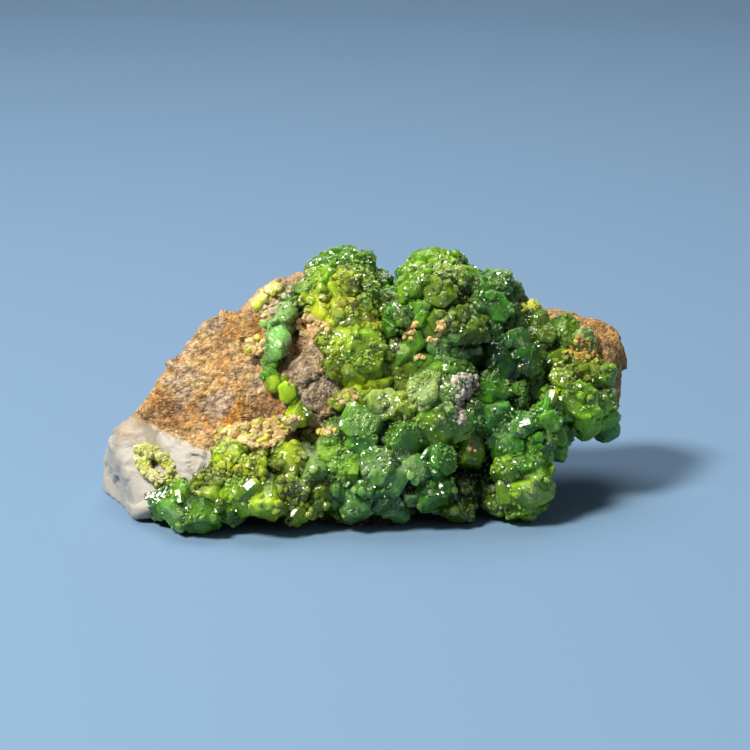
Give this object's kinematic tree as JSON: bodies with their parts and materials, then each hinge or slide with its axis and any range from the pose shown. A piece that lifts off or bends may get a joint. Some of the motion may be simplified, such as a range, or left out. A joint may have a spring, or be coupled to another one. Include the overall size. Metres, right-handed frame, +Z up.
{
  "type": "pyromorphite mineral specimen",
  "caption": "Hand-sized mineral specimen of green hexagonal crystals crusted on a brown and milky quartz rock, resting on its flat underside",
  "frame": {"origin": "on the surface the specimen rests on, under the middle of its outline", "axes": "+X to the right along the length with the milky quartz end at -X, -Y toward the crystal side that faces the viewer, +Z up"},
  "size_m": [0.068, 0.0328, 0.0324],
  "materials": {
    "rock": "granular orange-brown rock running into waxy milky quartz",
    "green_crystal": "translucent, resinous, sparkling, from yellow-lime to emerald",
    "yellow_crystal": "small translucent yellow-green crystals",
    "cream_crystal": "small dull cream-yellow crystals"
  },
  "bodies": {
    "root": {"matrix_rock": "rock", "pyromorphite_crust": "green_crystal", "patch_crystals": "yellow_crystal", "ledge_crystals": "cream_crystal"}
  },
  "joints": []
}
